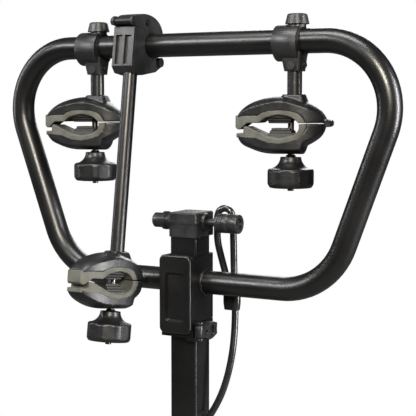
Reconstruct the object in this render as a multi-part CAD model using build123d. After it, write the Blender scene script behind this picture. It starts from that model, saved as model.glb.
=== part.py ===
"""Hitch mounted bike rack: folding mast, clamp-on hoop and three swivelling frame clamps.

Row frame: origin at the centre of the hitch pin bore, +X along the pin, +Y towards the vehicle, +Z up.
Lengths are in millimetres. Sub-parts are written as one STEP file for each node.
"""
import math
import os

from build123d import *

# ---------------------------------------------------------------- driving dimensions
SHANK = 50.8              # hitch shank, outside, square
SHANK_WALL = 5.0
SHANK_FRONT = 62.0        # shank tip, ahead of the pin bore
SHANK_REAR = -130.0
PIN_BORE_R = 8.15         # clearance for a 15.9 mm hitch pin

POST = 40.0               # mast post, outside, square
POST_WALL = 2.5
MAST_Y = -170.0           # mast axis behind the pin bore
HOOP_Z = 310.0            # hoop's lower tube above the fold pivot
POST_BELOW = 22.0         # post below the fold pivot
POST_TOP = 91.0           # post top above the hoop's lower tube
FOLD_SLOT_R = 50.0        # locking bolt's arc about the pivot
BOLT_R = 6.0

TUBE_R = 15.9             # hoop tube
TUBE_WALL = 2.0
HOOP_HEIGHT = 320.0       # between the centres of the lower and upper tubes
HOOP_TOP_HALF = 318.5     # half widths of the trapezium before its corners are rounded
HOOP_BOTTOM_HALF = 202.0
HOOP_TOP_BEND = 86.0
HOOP_BOTTOM_BEND = 91.0

BRACKET_HALF = 24.0
BRACKET_WALL = 2.5
BRACKET_FRONT = -36.0
COVER_FRONT = -43.0

ROD_R = 9.5               # stubs of the short arms and rod of the long arm
ROD_WALL = 2.0
ARM_X = {"left": -150.0, "right": 154.0, "long": -71.5}
HEAD_DROP = {"left": -104.0, "right": -104.0, "long": -320.0}   # hoop tube axis to jaw parting plane
HEAD_YAW = {"left": 13.0, "right": 13.0, "long": 78.0}
LONG_LEAN = -8.4          # long arm leans out in front of the lower tube
LONG_ROD_Y = -30.5        # rod ahead of the tube it hangs from

CORD_R = 4.75
CORD_ROUTE = [            # mast axis and the hoop's lower tube are x = 0, y = 0, z = 0
    (27, 0, -190), (38.5, 3, -172), (50.5, 9, -140), (57, 17, -98), (56.5, 25, -58), (55, 27.5, -20),
    (53, 28, 15), (53.5, 25.5, 50), (54.2, 23, 74), (54, 21.5, 90), (50.9, 20.5, 97.4), (43.5, 19, 100.5),
    (36.1, 17.7, 97.4), (33, 17, 90), (32.6, 17.6, 74), (31, 21, 54), (34, 25.5, 34), (39.5, 27.5, 12),
    (45.3, 28, -10), (45.3, 28, -32),
]

SLIP = 0.1                # running clearance on a radius
NEAR = 0.05               # clearance between pieces fixed to each other

MAST = Pos(0, MAST_Y, HOOP_Z)
nodes = {}


# ---------------------------------------------------------------- helpers
def block(x0, x1, y0, y1, z0, z1):
    """Box between two corners."""
    return Pos((x0 + x1) / 2, (y0 + y1) / 2, (z0 + z1) / 2) * Box(x1 - x0, y1 - y0, z1 - z0)


def rod_x(radius, x0, x1, y=0.0, z=0.0):
    """Cylinder along X."""
    return Pos((x0 + x1) / 2, y, z) * Rot(0, 90, 0) * Cylinder(radius, x1 - x0)


def rod_y(radius, y0, y1, x=0.0, z=0.0):
    """Cylinder along Y."""
    return Pos(x, (y0 + y1) / 2, z) * Rot(90, 0, 0) * Cylinder(radius, y1 - y0)


def rod_z(radius, z0, z1, x=0.0, y=0.0):
    """Cylinder along Z."""
    return Pos(x, y, (z0 + z1) / 2) * Cylinder(radius, z1 - z0)


def hex_x(across, x0, x1, y=0.0, z=0.0):
    """Hexagonal head or nut along X."""
    face = Plane.YZ * RegularPolygon(across / 2, 6, major_radius=False)
    return Pos(x0, y, z) * extrude(face, amount=x1 - x0, dir=(1, 0, 0))


def square_tube(outside, wall, z0, z1, corner):
    """Square tube along Z."""
    ring = RectangleRounded(outside, outside, corner)
    ring -= RectangleRounded(outside - 2 * wall, outside - 2 * wall, max(corner - wall, 0.6))
    return Pos(0, 0, z0) * extrude(ring, amount=z1 - z0)


def plate_x(outline, x0, x1):
    """Prism along X from an outline drawn in Y, Z."""
    return Pos(x0, 0, 0) * extrude(Plane.YZ * outline, amount=x1 - x0, dir=(1, 0, 0))


def slab_y(outline, half):
    """Prism along Y, centred, from an outline drawn in X, Z."""
    return extrude(Plane.XZ * outline, amount=half, both=True)


def closed(*edges):
    """Face from a closed chain of edges."""
    return make_face(Curve() + list(edges))


# ---------------------------------------------------------------- hitch and mast foot
def make_base():
    half = SHANK / 2
    tube = Rot(90, 0, 0) * square_tube(SHANK, SHANK_WALL, -SHANK_FRONT, -SHANK_REAR, 4.0)
    nodes["hitch_shank"] = tube - rod_x(PIN_BORE_R, -half - 1, half + 1)

    plate = 5.0
    sector = Circle(66) & Pos(-33, 22.3) * Rectangle(134, 95.4)
    sector -= Circle(BOLT_R + SLIP)
    sector -= SlotArc(CenterArc((0, 0), FOLD_SLOT_R, 90, 90), 2 * BOLT_R + 1.0)
    foot = block(-half, half, SHANK_REAR - plate, SHANK_REAR, -half, half)
    for x0 in (-half, half - plate):
        foot += Pos(0, MAST_Y, 0) * plate_x(sector, x0, x0 + plate)
    nodes["mast_foot"] = foot

    bolt = rod_x(BOLT_R, -half - 0.5, half + 13) + hex_x(19, -half - 8, -half, 0, 0)
    nut = hex_x(19, half, half + 10, 0, 0) - rod_x(BOLT_R + NEAR, half - 1, half + 11)
    nodes["pivot_bolt"] = Pos(0, MAST_Y, 0) * Compound(children=[bolt, nut])


def make_mast():
    half = POST / 2
    post = square_tube(POST, POST_WALL, -HOOP_Z - POST_BELOW, POST_TOP, 3.0)
    post -= rod_x(BOLT_R + SLIP, -half - 1, half + 1, 0, -HOOP_Z)
    post -= rod_x(BOLT_R + NEAR, -half - 1, half + 1, 0, FOLD_SLOT_R - HOOP_Z)
    post -= rod_x(8.05, 0, half + 1, 0, CORD_ROUTE[0][2])
    post -= rod_x(LOCK_PIN_R + NEAR, -half - 1, half + 1, LOCK_Y, LOCK_Z)
    nodes["mast_post"] = MAST * post

    side = SHANK / 2 + 0.3
    bolt = rod_x(BOLT_R, -side - 1, side + 17) + hex_x(19, -side - 8, -side)
    nodes["slot_bolt"] = Pos(0, MAST_Y, FOLD_SLOT_R) * bolt
    lobes = Circle(17)
    for turn in range(0, 360, 120):
        lobes += Rot(0, 0, turn) * Pos(15, 0) * Circle(9)
    knob = extrude(Plane.YZ * lobes, amount=22, dir=(1, 0, 0))
    knob = fillet(knob.edges().group_by(Axis.X)[-1], 2.5)
    knob -= rod_x(BOLT_R + SLIP, -1, 17.4)
    nodes["fold_knob"] = Pos(side, MAST_Y, FOLD_SLOT_R) * knob


# ---------------------------------------------------------------- mast cap, lock and cable
LOCK_Y = 3.8
LOCK_Z = 81.0
LOCK_PIN_R = 5.0
CAP_HALF = 21.3
CAP_BACK = 28.5
CAP_BOTTOM = 62.0
CAP_TOP = 95.0
BARREL_R = 13.0
BARREL_START = 41.5
BARREL_END = 74.0


def lock_rod(radius, x0, x1):
    """Cylinder on the lock's axis."""
    return rod_x(radius, x0, x1, LOCK_Y, LOCK_Z)


def make_cap_and_lock():
    cap = block(-CAP_HALF, CAP_HALF, -CAP_HALF, CAP_BACK, CAP_BOTTOM, CAP_TOP)
    cap = fillet(cap.edges().filter_by(Axis.Z), 2.3)
    cap = chamfer(cap.edges().group_by(Axis.Z)[-1], 1.8)
    ridge = block(-CAP_HALF - 0.9, CAP_HALF + 0.9, -CAP_HALF - 0.9, CAP_BACK + 0.9, 80, 84)
    cap += fillet(ridge.edges().filter_by(Axis.Z), 3)
    inner = POST / 2 + NEAR
    cap += lock_rod(12.0, -30, -CAP_HALF + 1) + lock_rod(12.5, CAP_HALF - 1, 26)
    cap -= block(-inner, inner, -inner, inner, CAP_BOTTOM - 1, POST_TOP)
    cap -= lock_rod(LOCK_PIN_R + NEAR, -40, 40)
    nodes["mast_cap"] = MAST * cap

    head = lock_rod(10.2, -57.7, -42) + lock_rod(12.6, -42, -36.5)
    head = chamfer(head.edges().group_by(Axis.X)[0], 1.5)
    pin = lock_rod(LOCK_PIN_R, -44, 62) + head + lock_rod(11.0, -36.5, -30.1)
    nodes["lock_pin"] = MAST * pin

    barrel = lock_rod(BARREL_R, BARREL_START, BARREL_END)
    barrel = fillet(barrel.edges().group_by(Axis.X)[-1], 1.6)
    for x0 in (44.5, 47.5, 50.5, 60.0):
        barrel -= lock_rod(BARREL_R + 1, x0, x0 + 0.9) - lock_rod(BARREL_R - 0.7, x0 - 1, x0 + 2)
    barrel -= lock_rod(LOCK_PIN_R + SLIP, BARREL_START - 1, 62.6)
    barrel -= lock_rod(9.5, 63.5, BARREL_END + 1)
    nodes["lock_barrel"] = MAST * barrel
    plug = lock_rod(9.4, 63.7, BARREL_END - 0.6)
    bar = block(60, 80, LOCK_Y - 10, LOCK_Y + 10, LOCK_Z - 1.8, LOCK_Z + 1.8)
    plug -= lock_rod(7.6, 70.2, BARREL_END) - bar
    nodes["lock_core"] = MAST * plug


def cord_radii(points):
    """Bend radii: each is 0.45 of the shorter run over the tangent of half the turn."""
    radii = []
    for a, b, c in zip(points, points[1:], points[2:]):
        u, v = Vector(b) - Vector(a), Vector(c) - Vector(b)
        radii.append(0.45 * min(u.length, v.length) / math.tan(math.radians(u.get_angle(v) / 2)))
    return radii


def make_cable():
    radii = cord_radii(CORD_ROUTE)
    path = FilletPolyline(*CORD_ROUTE, radius=radii)
    start = Plane(origin=path @ 0, z_dir=path % 0)
    cable = sweep(start * Circle(CORD_R), path=path)
    nodes["lock_cable"] = MAST * cable
    print("cord length", round(path.length, 1), "radii", [round(r, 1) for r in radii])
    print("cord volume over section times length", cable.volume / (math.pi * CORD_R**2 * path.length))

    (x0, y0, z0), toward = CORD_ROUTE[0], Vector(CORD_ROUTE[1]) - Vector(CORD_ROUTE[0])
    mouth = Plane(origin=(x0, y0, z0), z_dir=toward)
    boot = rod_x(12.5, POST / 2, POST / 2 + 2, 0, z0)
    boot += mouth * Pos(0, 0, -5) * Cylinder(7.6, 10.0) & block(POST / 2, 60, -30, 30, z0 - 30, z0 + 30)
    boot += rod_x(8.0, POST / 2 - 4, POST / 2, 0, z0)
    nodes["cable_grommet"] = MAST * boot

    x_mid = (CORD_ROUTE[5][0] + CORD_ROUTE[-1][0]) / 2
    shape, wide = SlotOverall(22.5, 12), SlotOverall(25, 14)
    sleeve = Pos(x_mid, 27.8, -40) * loft([shape, Pos(0, 0, 9) * wide, Pos(0, 0, 37) * wide], ruled=True)
    sleeve -= MAST.inverse() * nodes["lock_cable"]
    nodes["cable_ferrule"] = MAST * sleeve


# ---------------------------------------------------------------- hoop and its sliding bracket
LEVER_PIVOT = (30.7, -30.5)
COLLAR_Z = (-71.0, -53.0)


def make_hoop():
    route = [
        (BRACKET_HALF, 0, 0), (HOOP_BOTTOM_HALF, 0, 0), (HOOP_TOP_HALF, 0, HOOP_HEIGHT),
        (-HOOP_TOP_HALF, 0, HOOP_HEIGHT), (-HOOP_BOTTOM_HALF, 0, 0), (-BRACKET_HALF, 0, 0),
    ]
    path = FilletPolyline(*route, radius=[HOOP_BOTTOM_BEND, HOOP_TOP_BEND, HOOP_TOP_BEND, HOOP_BOTTOM_BEND])
    ring = Circle(TUBE_R) - Circle(TUBE_R - TUBE_WALL)
    nodes["hoop_tube"] = MAST * sweep(Plane(origin=path @ 0, z_dir=path % 0) * ring, path=path)


def make_bracket():
    inner = BRACKET_HALF - BRACKET_WALL
    shell = block(-BRACKET_HALF, BRACKET_HALF, BRACKET_FRONT, BRACKET_HALF, -52, 38)
    shell = fillet(shell.edges().filter_by(Axis.Z).group_by(Axis.Y)[-1], 4)
    shell -= block(-inner, inner, BRACKET_FRONT - 1, inner, -53, 39)
    nodes["hoop_bracket"] = MAST * shell

    face = Pos(0, -13) * RectangleRounded(2 * BRACKET_HALF, 106, 8)
    cover = Pos(0, BRACKET_FRONT, 0) * extrude(Plane.XZ * face, amount=BRACKET_FRONT - COVER_FRONT)
    cover = fillet(cover.edges().group_by(Axis.Y)[0], 2.5)
    floor = Pos(0, -16.5, -COVER_FRONT - 4.2) * RectangleRounded(25, 61.5, 3)
    mouth = Pos(0, -16.5, -COVER_FRONT + 0.2) * RectangleRounded(29.5, 66, 4)
    cover -= Rot(90, 0, 0) * loft([floor, mouth])
    back = Pos(0, BRACKET_FRONT, 0) * Plane.XZ * Pos(0, -7) * RectangleRounded(36, 84, 3)
    cover -= extrude(back, amount=1.6)
    nodes["bracket_cover"] = MAST * cover

    slide_gap = POST / 2 + 0.15
    liner = block(-inner + NEAR, inner - NEAR, -inner + NEAR, inner - NEAR, -48, 36)
    liner -= block(-slide_gap, slide_gap, -slide_gap, slide_gap, -49, 37)
    nodes["post_liner"] = MAST * liner


def make_height_clamp():
    z0, z1 = COLLAR_Z
    gap = POST / 2 + 0.3
    px, py = LEVER_PIVOT
    collar = block(-BRACKET_HALF, BRACKET_HALF, BRACKET_FRONT, BRACKET_HALF, z0, z1 + NEAR)
    collar = fillet(collar.edges().filter_by(Axis.Z).group_by(Axis.Y)[-1], 4)
    for low, high in ((z0 - 4, z0 - 0.3), (z1 + 0.3, z1 + 4)):
        ear = rod_z(6, low, high, px, py) + block(BRACKET_HALF, px, py - 6, py + 6, low, high)
        if low < z0:
            ear += block(14, BRACKET_HALF, BRACKET_FRONT, py + 6, low, high)
            collar += block(14, BRACKET_HALF, BRACKET_FRONT, py + 6, low, z0)
        else:
            ear += block(BRACKET_HALF, BRACKET_HALF + 0.55, py - 5.5, py + 6, z0, high)
        collar += ear
    collar -= block(-gap, gap, -gap, gap, z0 - 5, z1 + 1)
    collar -= block(-10, 10, -33, -gap + 1, z0 + 3, z1 - 3)
    collar -= rod_z(2.5 + NEAR, z0 - 5, z1 + 5, px, py)
    nodes["clamp_collar"] = MAST * collar

    shoe = block(-9.8, 9.8, -31, -POST / 2 - 0.15, z0 + 3.2, z1 - 3.2)
    nodes["clamp_shoe"] = MAST * shoe

    lever = rod_z(5.9, z0 + 1, z1 - 1, px, py)
    plan = make_face(Polyline(
        (px - 5.6, py), (px - 5.6, 9), (px - 2.6, 15), (px + 2.5, 15), (px + 6.5, 9), (px + 5.6, py),
        close=True,
    ))
    face = make_face(Polyline(
        (py - 7, -70.4), (-23, -70.6), (-12, -76), (-3, -75.4), (9, -71), (15, -65), (15, -60),
        (11, -56.5), (0, -53), (-11, -53), (-22, -58), (py - 7, -60), close=True,
    ))
    lever += (Pos(0, 0, -90) * extrude(plan, amount=60)) & plate_x(face, px - 8, px + 8)
    for y, length, height in ((-20, 8, 7), (-5, 11, 14), (8, 7.5, 8)):
        pocket = Plane.YZ * Pos(y, -64.5) * RectangleRounded(length, height, 3.4)
        lever -= Pos(px + 2.6, 0, 0) * extrude(pocket, amount=6, dir=(1, 0, 0))
    lever -= rod_z(2.5 + SLIP, z0 - 1, z1 + 1, px, py)
    nodes["height_lever"] = MAST * lever
    nodes["lever_pin"] = MAST * rod_z(2.5, z0 - 4, z1 + 4, px, py)


# ---------------------------------------------------------------- frame clamp heads
# Head frame: z = 0 on the parting plane, the screw on x = 0, the hinge at +x and the mouth at -x.
HINGE_X = 45.0
HINGE_R = 4.8
SCREW_X = -4.4
SCREW_R = 4.0
SOCKET_Z = 25.6           # floor of the socket the arm stands in
PLAN = [(-75.5, 12), (-50, 21), (-15, 25), (20, 23), (41, 11.5)]
UPPER_OUT = [
    (-73, 11), (-61, 23), (-45, 30), (-27, 34), (-8, 34.5), (10, 30), (26.4, 22), (36, 14), (40.5, 0.3),
]
UPPER_SEAT = [(18, 0.3), (14, 7.5), (4, 15.5), (-11, 17.8), (-31, 16.4), (-43.3, 9.8)]
UPPER_ARCH = [(9, 0.3), (-1.1, 7.9), (-9, 9.8), (-16, 10.7), (-26, 8.8), (-33, 6.9)]
LOWER_OUT = [(-72, -19.5), (-69, -26.3), (-57, -32.9), (-42.5, -37.7), (-27, -39.6)]
LOWER_OUT_REAR = [(16.5, -29.1), (26.4, -23.5), (36, -15), (39, -7), (39.5, -0.9)]
LOWER_SEAT = [(19.5, -0.9), (17.5, -9.5), (3.8, -22.4), (-10.9, -26.8), (-31, -25.4), (-43.3, -19.7)]
LOWER_ARCH = [(9.5, -0.9), (8.5, -10.1), (-1.1, -16.9), (-16, -19.7), (-33, -16.9)]


def planform(inset=0.0):
    """Outline of a head seen from above."""
    points = [(x, y - inset) for x, y in PLAN]
    right = Spline(*points)
    left = Spline(*[(x, -y) for x, y in points])
    return closed(right, left, Line(right @ 0, left @ 0), Line(right @ 1, left @ 1))


def head_prism(outline, inset=0.0):
    """Side outline given depth by the plan outline."""
    return slab_y(outline, 40) & Pos(0, 0, -60) * extrude(planform(inset), amount=120)


def chain(*points):
    """Straight edges through the points."""
    return [Line(a, b) for a, b in zip(points, points[1:])]


def hinge_ears(spans, above):
    """Knuckles about the hinge pin that reach back into a jaw."""
    ears = None
    for y0, y1 in spans:
        low, high = (0.3, HINGE_R) if above else (-HINGE_R, -0.9)
        ear = rod_y(HINGE_R, y0, y1, HINGE_X, 0) + block(HINGE_X - 9, HINGE_X, y0, y1, low, high)
        ears = ear if ears is None else ears + ear
    return ears


def upper_jaw():
    outline = closed(
        Spline(*UPPER_OUT), Line((40.5, 0.3), (18, 0.3)), Spline(*UPPER_SEAT),
        *chain((-43.3, 9.8), (-73, 9.8), (-73, 11)),
    )
    jaw = head_prism(outline)
    rim = Pos(-0.5, 0, 37.5) * RectangleRounded(27, 25, 5)
    boss = loft([Pos(0, 0, 27) * RectangleRounded(34, 32, 6), rim])
    jaw += boss + hinge_ears([(-12, -7.8), (7.8, 12)], True)
    jaw -= rod_z(ROD_R + NEAR, SOCKET_Z, 60)
    jaw -= rod_z(7.8, SOCKET_Z - 6.5, SOCKET_Z + 0.1, SCREW_X)
    jaw -= rod_z(SCREW_R + 0.3, -1, 30, SCREW_X)
    jaw -= block(HINGE_X - HINGE_R - 0.6, 60, -7.8, 7.8, -8, HINGE_R + 0.8)
    jaw -= rod_y(2.5 + NEAR, -20, 20, HINGE_X, 0)
    return jaw


def upper_pad():
    outline = closed(
        Spline(*UPPER_SEAT),
        *chain(
            (-43.3, 9.8), (-75, 9.8), (-75, -5.5), (-72, -8.3), (-68.5, -8.3), (-65, -5), (-58.5, 0.2),
            (-43, 0.2), (-36.3, 5), (-33, 6.9),
        ),
        Spline(*UPPER_ARCH), Line((9, 0.3), (18, 0.3)),
    )
    pad = head_prism(outline, 0.3)
    insert = None
    for step in range(3):
        layer = block(-33 + step, 1 - 2 * step, -20 + 3 * step, 20 - 3 * step, 6.4 - 3.3 * step, 11)
        insert = layer if insert is None else insert + layer
    hole = rod_z(SCREW_R + 0.6, -20, 40, SCREW_X)
    arch = closed(Spline(*UPPER_ARCH), *chain((9, 0.3), (9, -12), (-33, -12), (-33, 6.9)))
    insert = (insert & slab_y(arch, 30)) - hole
    return Compound(children=[pad - hole, *insert.solids()])


def screw_slot(z0, z1):
    """Slot that lets the lower jaw swing past the clamp screw."""
    return block(SCREW_X - 8.1, SCREW_X + 6.3, -4.7, 4.7, z0, z1)


def lower_jaw():
    outline = closed(
        Spline(*LOWER_OUT), *chain((-27, -39.6), (12, -39.6), (15, -31), (16.5, -29.1)),
        Spline(*LOWER_OUT_REAR), Line((39.5, -0.9), (19.5, -0.9)), Spline(*LOWER_SEAT),
        *chain((-43.3, -19.7), (-72, -18.75), (-72, -19.5)),
    )
    jaw = head_prism(outline)
    jaw += hinge_ears([(-7.4, 7.4)], False)
    jaw -= screw_slot(-60, 0)
    jaw -= rod_y(2.5 + SLIP, -20, 20, HINGE_X, 0)
    return jaw


def lower_pad():
    outline = closed(
        Spline(*LOWER_SEAT),
        *chain(
            (-43.3, -19.7), (-73.6, -18.7), (-73.6, -13), (-63.7, -13), (-63, -4.5), (-58.6, -4),
            (-34.2, -15.4), (-33, -16.9),
        ),
        Spline(*LOWER_ARCH), Line((9.5, -0.9), (19.5, -0.9)),
    )
    pad = head_prism(outline, 0.3) - screw_slot(-60, 0)
    insert = None
    for step in range(4):
        half = 21 - 3 * step
        layer = block(-32.5 + 1.6 * step, 3 - 2 * step, -half, half, -21, -16.1 + 3.3 * step)
        insert = layer if insert is None else insert + layer
    arch = closed(Spline(*LOWER_ARCH), *chain((9.5, -0.9), (9.5, 10), (-33, 10), (-33, -16.9)))
    insert = (insert & slab_y(arch, 30)) - screw_slot(-60, 10)
    return Compound(children=[*pad.solids(), *insert.solids()])


def hinge_pin():
    pin = rod_y(2.5, -13.5, 13.5, HINGE_X, 0)
    return pin + rod_y(4.1, -14.6, -12.1, HINGE_X, 0) + rod_y(4.1, 12.1, 14.6, HINGE_X, 0)


def clamp_screw():
    head = Pos(0, 0, SOCKET_Z - 6.4) * extrude(RegularPolygon(6.5, 6, major_radius=False), amount=6.0)
    return Pos(SCREW_X, 0, 0) * (rod_z(SCREW_R, -87, SOCKET_Z - 6) + head)


NUT_R = 9.0


def knob_nut():
    nut = rod_z(NUT_R, -74, -62) + rod_z(NUT_R + 2.5, -66, -62)
    return Pos(SCREW_X, 0, 0) * (nut - rod_z(SCREW_R + NEAR, -80, -60))


def knob():
    """Eight-sided hand wheel with a waisted neck."""
    bore = SCREW_R + 0.3
    section = closed(
        *chain((bore, -40.1), (6, -40.1), (6, -43), (13.5, -43)),
        ThreePointArc((13.5, -43), (17, -53), (28, -58.5)),
        *chain((28, -58.5), (30, -61), (30, -78), (27, -83), (bore, -83), (bore, -40.1)),
    )
    wheel = revolve(Plane.XZ * section, Axis.Z)
    for turn in range(8):
        flat = block(29.0, 40, -10, 10, -90, -60)
        wheel -= Rot(0, 0, 45 * turn) * flat
    wheel -= rod_z(NUT_R + SLIP, -75, -62)
    wheel -= rod_z(NUT_R + 2.5 + SLIP, -66.1, -61.9)
    return Pos(SCREW_X, 0, 0) * wheel


def place_head(side):
    """Location of a head frame in the mast frame."""
    lean = Pos(0, 0, HOOP_HEIGHT) * Rot(LONG_LEAN if side == "long" else 0, 0, 0)
    rod_y_offset = LONG_ROD_Y if side == "long" else 0
    return lean * Pos(ARM_X[side], rod_y_offset, HEAD_DROP[side]) * Rot(0, 0, HEAD_YAW[side])


def make_heads():
    pieces = {
        "jaw_upper": upper_jaw, "pad_upper": upper_pad, "jaw_lower": lower_jaw, "pad_lower": lower_pad,
        "hinge_pin": hinge_pin, "clamp_screw": clamp_screw, "knob_nut": knob_nut, "knob": knob,
    }
    for name, piece in pieces.items():
        shape = piece()
        for side in ARM_X:
            nodes[f"{side}_{name}"] = MAST * place_head(side) * shape


# ---------------------------------------------------------------- short arms: collar, cap and stub
def make_short_arms():
    bush = rod_x(17.8, -24.5, 11.5) - rod_x(TUBE_R + SLIP, -30, 14)
    ring = rod_x(23.2, -23, 10, 0, -2.2) + rod_z(11.5, 10, 21.6, 3)
    neck = loft([Pos(0, 0, -38) * Rectangle(22, 22.5), Pos(-1.2, 0, -14) * Rectangle(29.5, 27)])
    neck = fillet(neck.edges().group_by(Axis.Z)[1], 4)
    collar = ring + neck + rod_y(5.5, -13.4, -11.4, 0, -31) + hex_x(6.5, 11, 15.5, 0, -30)
    collar -= rod_x(17.8 + SLIP, -40, 40) + rod_z(ROD_R + SLIP, -60, -22.5)
    cap = Pos(3, 0, 21.6 + NEAR) * Cone(15.5, 12.5, 13, align=(Align.CENTER, Align.CENTER, Align.MIN))
    cap = fillet(cap.edges().group_by(Axis.Z)[-1], 3)
    for side in ("left", "right"):
        at = MAST * Pos(ARM_X[side], 0, HOOP_HEIGHT)
        nodes[f"{side}_collar_bush"] = at * bush
        nodes[f"{side}_collar"] = at * collar
        nodes[f"{side}_collar_cap"] = at * cap
        foot = HEAD_DROP[side] + SOCKET_Z + 0.1
        stub = rod_z(ROD_R, foot, -22.8) - rod_z(ROD_R - ROD_WALL, foot - 1, -20)
        nodes[f"{side}_stub"] = at * stub


# ---------------------------------------------------------------- long arm: quick-release claw and rod
# Claw frame: tube axis on y = 0, z = 0, rod on x = 0 at y = LONG_ROD_Y.
CLAW_LEFT = -20.0
CLAW_RIGHT = 12.0
CLAW_MID = (CLAW_LEFT + CLAW_RIGHT) / 2
CLAW_HINGE = (20.0, -19.5)
LATCH_PIVOT = (-16.0, 28.5)
BAR = (-48.5, 24.2)
BAR_R = 4.8
GRIP_R = 17.6


def make_claw():
    hy, hz = CLAW_HINGE
    mid = CLAW_MID
    lean = MAST * Pos(ARM_X["long"], 0, HOOP_HEIGHT) * Rot(LONG_LEAN, 0, 0)

    liner = rod_x(17.4, CLAW_LEFT + 1.3, CLAW_RIGHT - 1.3) - rod_x(TUBE_R + SLIP, -30, 20)
    nodes["claw_liner"] = lean * (liner - block(-30, 20, 0, 30, -0.75, 0.75))

    outline = make_face(Polyline(
        (-47, 18), (-21.6, 18), (-13.4, 10.8), (13, -11.8), (27.5, -14.6), (27.5, -25), (14, -34),
        (-20, -44), (-39, -44), (-47, -36), close=True,
    ))
    body = plate_x(outline - Circle(GRIP_R), CLAW_LEFT, CLAW_RIGHT)
    body = fillet(body.edges().filter_by(Axis.X).group_by(Axis.Y)[0], 2)
    body -= rod_x(8.6, mid - 5.9, mid + 5.9, hy, hz)
    body -= block(mid - 5.9, mid + 5.9, 15, 40, -40, 0) + block(mid - 5.9, mid + 5.9, 11, 20, -19.5, 0)
    body -= rod_x(4 + NEAR, -30, 20, hy, hz)
    body -= rod_z(ROD_R + SLIP, -50, 10, 0, LONG_ROD_Y)
    for x0, x1 in ((mid - 12, mid - 1.8), (mid + 1.8, mid + 12)):
        body -= block(x0, x1, -50, -42.8, -33, 6)
    nodes["claw_body"] = lean * body

    crown = closed(
        *chain((-21.4, 18.4), (-36.4, 18.4), (-36.4, 27), (-46, 27)),
        Spline((-46, 27), (-38, 34), (-18, 39.5), (4, 38.5), (21, 30), (29.5, 11), (29, -10), (28.2, hz)),
        ThreePointArc((28.2, hz), (hy, hz - 8.2), (11.8, hz)),
        *chain((11.8, hz), (13.4, -11.4), (-13.2, 11.6), (-21.4, 18.4)),
    )
    jaw = plate_x(crown - Circle(GRIP_R), CLAW_LEFT, CLAW_RIGHT)
    cheek = Pos(*BAR) * Circle(7.0) + Pos(BAR[0] + 7, BAR[1]) * Rectangle(14, 14)
    cheek &= Pos(-45, 24.9) * Rectangle(40, 12.6)
    for x0 in (CLAW_LEFT, CLAW_RIGHT - 3.2):
        jaw += plate_x(cheek, x0, x0 + 3.2)
    for x0, x1 in ((-30, mid - 5.6), (mid + 5.6, 20)):
        jaw -= block(x0, x1, 5, 40, -40, -9.5)
    jaw -= rod_x(4 + SLIP, -30, 20, hy, hz)
    jaw -= rod_x(BAR_R + NEAR, -30, 20, *BAR)
    latch_room = make_face(Polyline(
        (-60, 29.5), (-12, 29.5), (-11, 27), (-1.2, 27), (-1.2, 50), (-60, 50), close=True,
    ))
    jaw -= plate_x(latch_room, mid - 11.3, mid + 11.3) + rod_x(7.2, mid - 11.3, mid + 11.3, *LATCH_PIVOT)
    jaw -= rod_x(2.5 + NEAR, -30, 20, *LATCH_PIVOT)
    nodes["claw_jaw"] = lean * jaw

    lever = closed(
        Spline((-43.5, 31), (-36, 35), (-18, 40), (-9, 40)),
        *chain((-9, 40), (-9.5, 30.5), (-43.5, 30.1), (-43.5, 31)),
    )
    latch = plate_x(lever, mid - 11, mid + 11) + rod_x(6, mid - 11, mid + 11, *LATCH_PIVOT)
    latch -= rod_x(2.5 + SLIP, -30, 20, *LATCH_PIVOT)
    nodes["claw_latch"] = lean * latch

    bar = rod_x(BAR_R, CLAW_LEFT - 3, CLAW_RIGHT + 1, *BAR)
    screw = rod_x(2.5, CLAW_LEFT - 0.5, CLAW_RIGHT + 1, *LATCH_PIVOT)
    screw += rod_x(4.5, CLAW_RIGHT + NEAR, CLAW_RIGHT + 2, *LATCH_PIVOT)
    nodes["latch_pins"] = lean * Compound(children=[bar, screw])
    bolt = rod_x(4, CLAW_LEFT - 1, CLAW_RIGHT + 2, hy, hz)
    bolt += rod_x(6.4, CLAW_RIGHT + NEAR, CLAW_RIGHT + 5, hy, hz)
    bolt += rod_x(6.4, CLAW_LEFT - 3, CLAW_LEFT - NEAR, hy, hz)
    nodes["claw_hinge_bolt"] = lean * bolt

    rod = rod_z(ROD_R, HEAD_DROP["long"] + SOCKET_Z + 0.1, 9.7, 0, LONG_ROD_Y)
    rod -= rod_z(ROD_R - ROD_WALL, HEAD_DROP["long"] + 20, 12, 0, LONG_ROD_Y)
    nodes["long_rod"] = lean * rod


def main():
    make_base()
    make_mast()
    make_cap_and_lock()
    make_cable()
    make_hoop()
    make_bracket()
    make_height_clamp()
    make_heads()
    make_short_arms()
    make_claw()
    os.makedirs("parts", exist_ok=True)
    for name, shape in nodes.items():
        export_step(shape, f"parts/{name}.step")
    print(len(nodes), "nodes")


main()
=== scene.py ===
"""Looks for a hitch mounted bike rack: hoop, frame clamps, cable lock and folding mast."""
import math

import bpy
from mathutils import Matrix, Vector


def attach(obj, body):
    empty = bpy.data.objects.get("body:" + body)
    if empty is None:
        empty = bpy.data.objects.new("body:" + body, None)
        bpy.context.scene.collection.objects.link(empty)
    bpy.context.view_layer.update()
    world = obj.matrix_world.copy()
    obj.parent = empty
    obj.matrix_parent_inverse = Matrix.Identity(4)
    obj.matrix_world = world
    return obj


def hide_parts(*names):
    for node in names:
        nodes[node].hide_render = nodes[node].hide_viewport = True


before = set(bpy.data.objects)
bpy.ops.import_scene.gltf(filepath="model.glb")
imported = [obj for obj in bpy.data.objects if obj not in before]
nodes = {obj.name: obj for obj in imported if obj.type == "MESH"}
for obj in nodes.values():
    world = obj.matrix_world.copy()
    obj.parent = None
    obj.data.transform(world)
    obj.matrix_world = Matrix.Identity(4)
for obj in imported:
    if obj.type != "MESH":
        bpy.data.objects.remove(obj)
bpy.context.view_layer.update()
scene = bpy.context.scene

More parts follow.
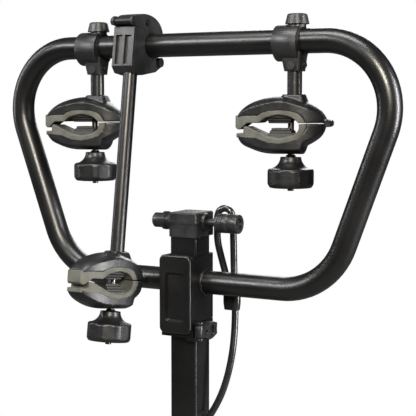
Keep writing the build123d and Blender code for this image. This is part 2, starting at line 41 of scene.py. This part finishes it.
# ---------------------------------------------------------------- places, in metres, as the CAD has them
MAST = Vector((0.0, -0.170, 0.310))      # mast axis at the hoop's lower tube
HOOP_HEIGHT = 0.320
TUBE_R = 0.0159
LEAN = math.radians(-8.4)
ARM_X = {"left": -0.150, "right": 0.154, "long": -0.0715}
HEAD_DROP = {"left": -0.104, "right": -0.104, "long": -0.320}
HEAD_YAW = {"left": 13.0, "right": 13.0, "long": 78.0}
LONG_ROD_Y = -0.0305
MM = 0.001


def turn(degrees, axis):
    return Matrix.Rotation(math.radians(degrees), 4, axis)


def head_place(side):
    """Matrix of a clamp head's own frame."""
    place = Matrix.Translation(MAST + Vector((0, 0, HOOP_HEIGHT)))
    if side == "long":
        place = place @ Matrix.Rotation(LEAN, 4, "X")
    y = LONG_ROD_Y if side == "long" else 0.0
    return place @ Matrix.Translation((ARM_X[side], y, HEAD_DROP[side])) @ turn(HEAD_YAW[side], "Z")


# ---------------------------------------------------------------- camera
CAMERA_AZIMUTH = math.radians(28.62)
CAMERA_ELEVATION = math.radians(5.31)
CAMERA_DISTANCE = 1.4667
CAMERA_TARGET = Vector((0.02142, 0.01169 + MAST.y, 0.0999 + MAST.z))
CAMERA_LENS = 93.32
SENSOR_WIDTH = 36


def make_camera():
    """Camera that stands where the photograph was taken from."""
    level = math.cos(CAMERA_ELEVATION)
    ahead = Vector((-math.sin(CAMERA_AZIMUTH) * level, math.cos(CAMERA_AZIMUTH) * level,
                    -math.sin(CAMERA_ELEVATION)))
    camera = bpy.data.objects.new("camera", bpy.data.cameras.new("camera"))
    camera.data.sensor_width = SENSOR_WIDTH
    camera.data.lens = CAMERA_LENS
    camera.data.clip_end = 100
    camera.location = CAMERA_TARGET - ahead * CAMERA_DISTANCE
    camera.rotation_euler = ahead.to_track_quat("-Z", "Y").to_euler()
    scene.collection.objects.link(camera)
    scene.camera = camera


make_camera()


# ---------------------------------------------------------------- materials
class Nodes:
    """Short-hand for building a material's node tree."""

    def __init__(self, name):
        self.material = bpy.data.materials.new(name)
        self.material.use_nodes = True
        self.tree = self.material.node_tree
        self.shader = self.tree.nodes["Principled BSDF"]
        self.place = self.tree.nodes.new("ShaderNodeTexCoord").outputs["Object"]

    def node(self, kind):
        return self.tree.nodes.new("ShaderNode" + kind)

    def link(self, a, b):
        self.tree.links.new(a, b)

    def noise(self, scale, detail, rough):
        made = self.node("TexNoise")
        made.inputs["Scale"].default_value = scale
        made.inputs["Detail"].default_value = detail
        made.inputs["Roughness"].default_value = rough
        self.link(self.place, made.inputs["Vector"])
        return made.outputs["Fac"]

    def spread(self, value, low, high):
        """Stretches the middle of a noise over a range."""
        made = self.node("MapRange")
        made.inputs["From Min"].default_value = 0.3
        made.inputs["From Max"].default_value = 0.7
        made.inputs["To Min"].default_value = low
        made.inputs["To Max"].default_value = high
        self.link(value, made.inputs["Value"])
        return made.outputs["Result"]

    def blend(self, factor, a, b):
        made = self.node("Mix")
        made.data_type = "RGBA"
        self.link(factor, made.inputs["Factor"])
        made.inputs["A"].default_value = (*a, 1)
        made.inputs["B"].default_value = (*b, 1)
        return made.outputs["Result"]

    def bump(self, height, distance, under=None):
        made = self.node("Bump")
        made.inputs["Distance"].default_value = distance
        made.inputs["Strength"].default_value = 1.0
        self.link(height, made.inputs["Height"])
        if under:
            self.link(under, made.inputs["Normal"])
        self.link(made.outputs["Normal"], self.shader.inputs["Normal"])
        return made.outputs["Normal"]


def surface(name, dark, light, rough, metal=0.0, grain=900, grain_depth=0.00006, patch=22, coat=0.0, specular=0.5,
            dents=None):
    """Principled material with colour patches, uneven gloss and fine surface grain."""
    m = Nodes(name)
    patches = m.noise(patch, 4.0, 0.6)
    fine = m.noise(grain, 3.0, 0.6)
    m.link(m.blend(m.spread(patches, 0, 1), dark, light), m.shader.inputs["Base Color"])
    m.link(m.spread(patches, rough[0], rough[1]), m.shader.inputs["Roughness"])
    m.shader.inputs["Metallic"].default_value = metal
    m.shader.inputs["Specular IOR Level"].default_value = specular
    m.shader.inputs["Coat Weight"].default_value = coat
    m.shader.inputs["Coat Roughness"].default_value = 0.25
    under = None
    if dents:
        under = m.bump(m.noise(dents[0], 1.0, 0.4), dents[1])
    m.bump(fine, grain_depth, under)
    return m.material


POWDER = surface("powder_coat", (0.0022, 0.0022, 0.0023), (0.0045, 0.0045, 0.0047), (0.29, 0.36), grain=620,
                 grain_depth=0.00012, patch=14, specular=0.55, dents=(90, 0.00012))
COVER = surface("cover_plastic", (0.004, 0.004, 0.0043), (0.007, 0.007, 0.0075), (0.30, 0.38), grain=1500,
                grain_depth=0.00005, patch=30)
NYLON = surface("black_nylon", (0.008, 0.008, 0.009), (0.016, 0.016, 0.017), (0.34, 0.46), grain=1400,
                grain_depth=0.00010, patch=60)
SHELL = surface("jaw_shell", (0.004, 0.0041, 0.0044), (0.008, 0.0082, 0.0088), (0.32, 0.42), grain=1100,
                grain_depth=0.00010, patch=45, dents=(160, 0.0002))
PAD = surface("grey_pad", (0.052, 0.050, 0.036), (0.115, 0.118, 0.106), (0.62, 0.78), grain=1800,
              grain_depth=0.00012, patch=40, specular=0.35)
INSERT = surface("pad_insert", (0.012, 0.012, 0.012), (0.02, 0.02, 0.02), (0.5, 0.65), grain=1800,
                 grain_depth=0.0001, patch=60)
VINYL = surface("cable_vinyl", (0.008, 0.008, 0.009), (0.013, 0.013, 0.014), (0.20, 0.30), grain=400,
                grain_depth=0.00006, patch=40, coat=0.3)
LOCK = surface("lock_plastic", (0.012, 0.012, 0.013), (0.020, 0.020, 0.021), (0.32, 0.42), grain=1400,
               grain_depth=0.00006, patch=60)
ZINC = surface("zinc_steel", (0.13, 0.12, 0.105), (0.22, 0.21, 0.19), (0.28, 0.42), metal=1.0, grain=900,
               grain_depth=0.00008, patch=160)
DARK_STEEL = surface("dark_steel", (0.02, 0.02, 0.021), (0.04, 0.04, 0.041), (0.34, 0.48), metal=0.8, grain=900,
                     grain_depth=0.00008, patch=160)

FINISH = {
    POWDER: ["hitch_shank", "mast_foot", "mast_post", "hoop_tube", "hoop_bracket", "clamp_collar", "left_stub",
             "right_stub", "long_rod"],
    COVER: ["bracket_cover"],
    NYLON: ["mast_cap", "fold_knob", "height_lever", "left_collar", "right_collar", "left_collar_cap",
            "right_collar_cap", "claw_body", "claw_jaw", "claw_latch", "post_liner", "clamp_shoe",
            "left_collar_bush", "right_collar_bush", "claw_liner"],
    VINYL: ["lock_cable", "cable_ferrule", "cable_grommet"],
    LOCK: ["lock_barrel", "lock_core", "lock_pin"],
    DARK_STEEL: ["claw_hinge_bolt", "lever_pin", "latch_pins", "left_hinge_pin", "right_hinge_pin",
                 "long_hinge_pin"],
}
for material, names in FINISH.items():
    for name in names:
        nodes[name].data.materials.clear()
        nodes[name].data.materials.append(material)
for name, node in nodes.items():
    if not any(name in names for names in FINISH.values()):
        finish = ZINC
        if "_jaw_" in name or name.endswith("_knob"):
            finish = SHELL
        elif "_pad_" in name:
            finish = PAD
        node.data.materials.clear()
        node.data.materials.append(finish)


# ---------------------------------------------------------------- lock cable
# Control points in mm from MAST, from the grommet up, round the loop and back to the ferrule.
CABLE_ROUTE = [
    (27, 0, -190), (38.5, 3, -172), (50.5, 9, -140), (57, 17, -98), (56.5, 25, -58), (55, 27.5, -20),
    (53, 28, 15), (53.5, 25.5, 50), (54.2, 23, 74), (54, 21.5, 90), (50.9, 20.5, 97.4), (43.5, 19, 100.5),
    (36.1, 17.7, 97.4), (33, 17, 90), (32.6, 17.6, 74), (31, 21, 54), (34, 25.5, 34), (39.5, 27.5, 12),
    (45.3, 28, -10), (45.3, 28, -32),
]
CABLE_R = 0.00475


def make_cable():
    curve = bpy.data.curves.new("cable", "CURVE")
    curve.dimensions = "3D"
    spline = curve.splines.new("NURBS")
    spline.points.add(len(CABLE_ROUTE) - 1)
    for point, place in zip(spline.points, CABLE_ROUTE):
        point.co = (*(MAST + Vector(place) * MM), 1)
    spline.order_u = 3
    spline.use_endpoint_u = True
    spline.resolution_u = 12
    curve.bevel_depth = CABLE_R
    curve.bevel_resolution = 6
    curve.use_fill_caps = True
    curve.materials.append(VINYL)
    cable = bpy.data.objects.new("cable", curve)
    scene.collection.objects.link(cable)
    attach(cable, "mast")
    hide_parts("lock_cable")


make_cable()


# ---------------------------------------------------------------- moulded pieces
def baked(obj):
    """The object's mesh with its modifiers applied."""
    graph = bpy.context.evaluated_depsgraph_get()
    return bpy.data.meshes.new_from_object(obj.evaluated_get(graph))


def moulded(node, place, voxel, rounds):
    """Copy of a CAD piece in its own frame, with the soft edges of a moulding."""
    mesh = nodes[node].data.copy()
    mesh.transform(place.inverted())
    obj = bpy.data.objects.new("blank", mesh)
    scene.collection.objects.link(obj)
    remesh = obj.modifiers.new("voxels", "REMESH")
    remesh.mode = "VOXEL"
    remesh.voxel_size = voxel
    smooth = obj.modifiers.new("soften", "SMOOTH")
    smooth.factor = 0.5
    smooth.iterations = rounds
    result = baked(obj)
    bpy.data.objects.remove(obj)
    result.shade_smooth()
    return result


def put(name, mesh, place, body, replaced):
    """Stands a mesh at a place, to ride on a body in place of CAD nodes."""
    obj = bpy.data.objects.new(name, mesh)
    scene.collection.objects.link(obj)
    obj.matrix_world = place
    bpy.context.view_layer.update()
    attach(obj, body)
    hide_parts(*replaced)


# Seat of the pads' inserts and outlines of the shells, as (x, z) or (x, half width) in mm in a head's own frame.
LOWER_ARCH = [(-33, -16.9), (-16, -19.7), (-1.1, -16.9), (8.5, -10.1), (9.5, -0.9)]
UPPER_ARCH = [(-33, 6.9), (-26, 8.8), (-16, 10.7), (-9, 9.8), (-1.1, 7.9), (9, 0.3)]
INSERT_START, INSERT_END = -33.5, 5
INSERT_HALF_WIDTH = 21.6
TOOTH_PITCH = 3.6
TOOTH_DEPTH = 2.2


def height_on(arch, x):
    """Height of a line of points at x, or None outside it."""
    for (x0, z0), (x1, z1) in zip(arch, arch[1:]):
        if x0 <= x <= x1:
            return z0 + (z1 - z0) * (x - x0) / (x1 - x0)
    return None


def mark_insert(mesh, arch, sign):
    """Gives the ribbed insert inside a pad the second material."""
    for face in mesh.polygons:
        x, y, z = (c / MM for c in face.center)
        base = height_on(arch, x)
        if base is None or not INSERT_START < x < INSERT_END:
            continue
        tooth = TOOTH_DEPTH * abs((x / TOOTH_PITCH) % 1.0 - 0.5) * 2 if sign < 0 else 0.0
        if (z - base) * sign > (1.0 if abs(y) < INSERT_HALF_WIDTH else 0.6) - tooth:
            face.material_index = 1


PLAN = [(-75.5, 12), (-50, 21), (-15, 25), (20, 23), (41, 11.5)]
SHELL_TOP = [(-73, 11), (-61, 23), (-45, 30), (-27, 34), (-8, 34.5), (10, 30), (26.4, 22), (36, 14), (40.5, 0.3)]
SHELL_BOTTOM = [(-72, -19.5), (-69, -26.3), (-57, -32.9), (-42.5, -37.7), (-27, -39.6), (12, -39.6), (16.5, -29.1),
                (26.4, -23.5), (36, -15), (39, -7)]


def crown(mesh, outer, drop):
    """Rounds a shell over from its middle line to its sides."""
    for vertex in mesh.vertices:
        x, y, z = (c / MM for c in vertex.co)
        half, edge = height_on(PLAN, x), height_on(outer, x)
        if half is None or edge is None:
            continue
        side = min(abs(y) / half, 1.0) ** 2.4
        depth = min(max((z / edge - 0.35) / 0.65, 0.0), 1.0)
        reach = min(1.0, abs(edge) / 30)
        vertex.co.z -= math.copysign(drop * side * depth * reach * MM, edge)


def make_heads():
    """Moulded skins of the left head, used again for the right and long heads."""
    home = head_place("left")
    parts = {
        "jaw_upper": (0.0009, 6, SHELL, "black_jaw_plastic", "head"),
        "jaw_lower": (0.0009, 6, SHELL, "black_jaw_plastic", "jaw"),
        "pad_upper": (0.0007, 4, PAD, "grey_rubber", "head"),
        "pad_lower": (0.0007, 4, PAD, "grey_rubber", "jaw"),
        "knob": (0.0008, 6, SHELL, "black_jaw_plastic", "knob"),
    }
    for part, (voxel, rounds, material, slot_name, body) in parts.items():
        mesh = moulded(f"left_{part}", home, voxel, rounds)
        mesh.materials.clear()
        mesh.materials.append(material)
        if part == "jaw_upper":
            crown(mesh, SHELL_TOP, 7.5)
        if part == "jaw_lower":
            crown(mesh, SHELL_BOTTOM, 6.0)
        if part.startswith("pad"):
            mesh.materials.append(INSERT)
            upper = part == "pad_upper"
            mark_insert(mesh, UPPER_ARCH if upper else LOWER_ARCH, -1 if upper else 1)
        for side in ARM_X:
            put(f"{side}_{part}_skin", mesh, head_place(side), f"{side}_{body}", [f"{side}_{part}"])


make_heads()


# ---------------------------------------------------------------- rounded edges on the trim
def soften(name):
    node = nodes[name]
    weld = node.modifiers.new("weld", "WELD")
    weld.merge_threshold = 1e-6
    bevel = node.modifiers.new("edges", "BEVEL")
    bevel.width = 0.0006
    bevel.segments = 2
    bevel.limit_method = "ANGLE"
    bevel.angle_limit = math.radians(30)
    bevel.harden_normals = True
    bevel.use_clamp_overlap = True


for name in ("bracket_cover", "mast_cap", "claw_body", "claw_jaw", "claw_latch", "left_collar", "right_collar",
             "height_lever", "clamp_collar", "lock_barrel", "cable_ferrule"):
    soften(name)


# ---------------------------------------------------------------- weld beads where the hoop meets its bracket
BRACKET_HALF = 0.024
BEAD_RADIUS = 0.0019
BEAD_GAP = 0.0006


def make_welds():
    """Rings with a slight ripple, round the hoop's lower tube."""
    for name, sign in (("left", -1), ("right", 1)):
        x = sign * BRACKET_HALF
        bpy.ops.mesh.primitive_torus_add(
            major_radius=TUBE_R + BEAD_GAP, minor_radius=BEAD_RADIUS, major_segments=72, minor_segments=10,
            location=MAST + Vector((x + sign * BEAD_GAP, 0, 0)), rotation=(0, math.pi / 2, 0))
        bead = bpy.context.object
        bead.name = f"{name}_weld"
        for vertex in bead.data.vertices:
            around = math.atan2(vertex.co.y, vertex.co.x)
            vertex.co *= 1 + 0.008 * math.sin(23 * around) * math.sin(5 * around + x * 100)
        bead.data.shade_smooth()
        bead.data.materials.append(POWDER)
        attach(bead, "hoop")


make_welds()


# ---------------------------------------------------------------- stage
FLOOR_HALF = 30.0
FLOOR_LEVEL = -0.42


def make_stage():
    """Floor and room, both plain white to the camera and dim to the object."""
    floor_mesh = bpy.data.meshes.new("floor")
    corners = [(x * FLOOR_HALF, y * FLOOR_HALF, FLOOR_LEVEL) for x, y in ((-1, -1), (1, -1), (1, 1), (-1, 1))]
    floor_mesh.from_pydata(corners, [], [(0, 1, 2, 3)])
    floor = bpy.data.objects.new("floor", floor_mesh)
    scene.collection.objects.link(floor)
    material = bpy.data.materials.new("floor")
    material.use_nodes = True
    tree = material.node_tree
    shader = tree.nodes["Principled BSDF"]
    shader.inputs["Base Color"].default_value = (0.12, 0.12, 0.12, 1)
    shader.inputs["Roughness"].default_value = 0.9
    glow = tree.nodes.new("ShaderNodeEmission")
    glow.inputs["Color"].default_value = (1, 1, 1, 1)
    glow.inputs["Strength"].default_value = 1.0
    path = tree.nodes.new("ShaderNodeLightPath")
    mix = tree.nodes.new("ShaderNodeMixShader")
    tree.links.new(path.outputs["Is Camera Ray"], mix.inputs[0])
    tree.links.new(shader.outputs[0], mix.inputs[1])
    tree.links.new(glow.outputs[0], mix.inputs[2])
    tree.links.new(mix.outputs[0], tree.nodes["Material Output"].inputs["Surface"])
    floor_mesh.materials.append(material)

    world = bpy.data.worlds.new("studio")
    scene.world = world
    world.use_nodes = True
    tree = world.node_tree
    tree.nodes.clear()
    out = tree.nodes.new("ShaderNodeOutputWorld")
    path = tree.nodes.new("ShaderNodeLightPath")
    mix = tree.nodes.new("ShaderNodeMixShader")
    seen = tree.nodes.new("ShaderNodeBackground")
    seen.inputs["Color"].default_value = (1, 1, 1, 1)
    room = tree.nodes.new("ShaderNodeBackground")
    room.inputs["Color"].default_value = (0.9, 0.95, 1.0, 1)
    room.inputs["Strength"].default_value = 0.05
    tree.links.new(path.outputs["Is Camera Ray"], mix.inputs[0])
    tree.links.new(room.outputs[0], mix.inputs[1])
    tree.links.new(seen.outputs[0], mix.inputs[2])
    tree.links.new(mix.outputs[0], out.inputs["Surface"])


def area_light(name, place, size, power, colour):
    """Rectangular lamp that looks at the middle of the object."""
    light = bpy.data.lights.new(name, "AREA")
    light.shape = "RECTANGLE"
    light.size, light.size_y = size
    light.energy = power
    light.color = colour
    obj = bpy.data.objects.new(name, light)
    scene.collection.objects.link(obj)
    obj.location = place
    obj.rotation_euler = (LIT_POINT - Vector(place)).to_track_quat("-Z", "Y").to_euler()


LIT_POINT = Vector((0, -0.17, 0.42))
WHITE = (1, 1, 1)
WARM = (1, 0.92, 0.80)
# name, place, size, power in W, colour
LAMPS = [
    ("overhead", (0.0, -0.9, 2.3), (1.4, 0.5), 40, WHITE),
    ("high_left", (-1.1, -1.85, 1.55), (1.1, 0.34), 36, WHITE),
    ("key", (0.95, -2.05, 1.35), (0.26, 0.60), 62, WARM),
    ("right_box", (2.2, 0.1, 0.7), (0.35, 1.8), 95, WHITE),
    ("left_box", (-2.0, -0.6, 1.1), (0.16, 1.6), 12, WHITE),
    ("back_fill", (-0.7, 2.1, 1.5), (0.9, 1.4), 22, WHITE),
]

make_stage()
for lamp in LAMPS:
    area_light(*lamp)
scene.view_settings.view_transform = "Standard"
